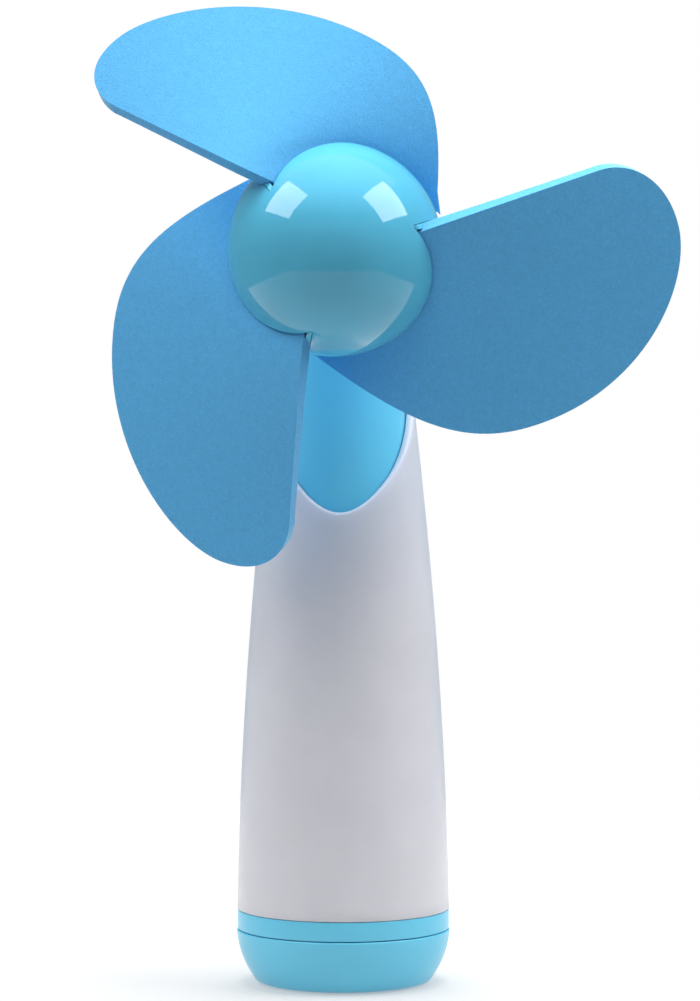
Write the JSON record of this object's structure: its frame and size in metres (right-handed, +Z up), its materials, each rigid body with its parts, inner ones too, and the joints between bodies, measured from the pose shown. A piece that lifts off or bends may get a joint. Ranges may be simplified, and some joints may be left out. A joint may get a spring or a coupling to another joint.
{
  "type": "handheld electric fan",
  "caption": "Battery-powered handheld fan with a tapered round handle, a ball-shaped hub facing forward and soft foam blades.",
  "frame": {"origin": "centre of the flat underside of the battery cap, on which the fan stands", "axes": "+Z up along the handle, -Y the way the hub and the air flow face, +X to the right seen from the front"},
  "size_m": [0.1128, 0.0833, 0.1952],
  "materials": {
    "cyan_gloss": "high-gloss moulded ABS",
    "cyan_satin": "smooth satin moulded ABS",
    "foam_blue": "matt closed-cell EVA foam sheet with a fine speckle",
    "sleeve_white": "satin, slightly translucent white polypropylene",
    "inner_white": "natural moulded plastic",
    "switch_black": "black moulded nylon",
    "steel": "plated steel",
    "brass": "plain brass",
    "copper": "enamelled copper wire and copper segments",
    "magnet": "sintered ferrite",
    "cell_jacket": "printed film jacket, plain",
    "wire_red": "PVC insulation",
    "wire_black": "PVC insulation"
  },
  "bodies": {
    "handle": {"handle_sleeve": "sleeve_white", "base_ring": "cyan_satin", "battery_holder": "inner_white", "battery_1": "cell_jacket", "battery_2": "cell_jacket", "contact_positive": "steel", "contact_negative": "steel", "battery_spring": "steel", "housing_front": "cyan_satin", "housing_rear": "cyan_satin", "housing_screw_1": "steel", "housing_screw_2": "steel", "motor_can": "steel", "motor_end_cap": "inner_white", "bush_front": "brass", "bush_rear": "brass", "magnet_left": "magnet", "magnet_right": "magnet", "brush_left": "brass", "brush_right": "brass", "terminal_left": "brass", "terminal_right": "brass", "switch_body": "switch_black", "switch_terminal_1": "brass", "switch_terminal_2": "brass", "switch_screw_1": "steel", "switch_screw_2": "steel", "wire_supply": "wire_red", "wire_switched": "wire_red", "wire_return": "wire_black"},
    "rotor": {"motor_shaft": "steel", "rotor_core": "steel", "winding_1": "copper", "winding_2": "copper", "winding_3": "copper", "commutator": "copper", "hub_rear": "cyan_satin", "hub_dome": "cyan_gloss", "blade_1": "foam_blue", "blade_2": "foam_blue", "blade_3": "foam_blue"},
    "switch": {"switch_knob": "cyan_satin"},
    "cap": {"battery_cap": "cyan_satin", "contact_plate": "steel"}
  },
  "joints": [
    {"name": "rotor_spin", "type": "hinge", "parent": "handle", "child": "rotor", "pos_m": [0, -0.041, 0.1485], "axis": [0, -1, 0], "continuous": true},
    {"name": "switch_slide", "type": "slide", "parent": "handle", "child": "switch", "axis": [0, 0, 1], "range_m": [0, 0.004]},
    {"name": "cap_turn", "type": "hinge", "parent": "handle", "child": "cap", "pos_m": [0, 0, 0], "axis": [0, 0, 1], "range_deg": [0, 30]}
  ]
}
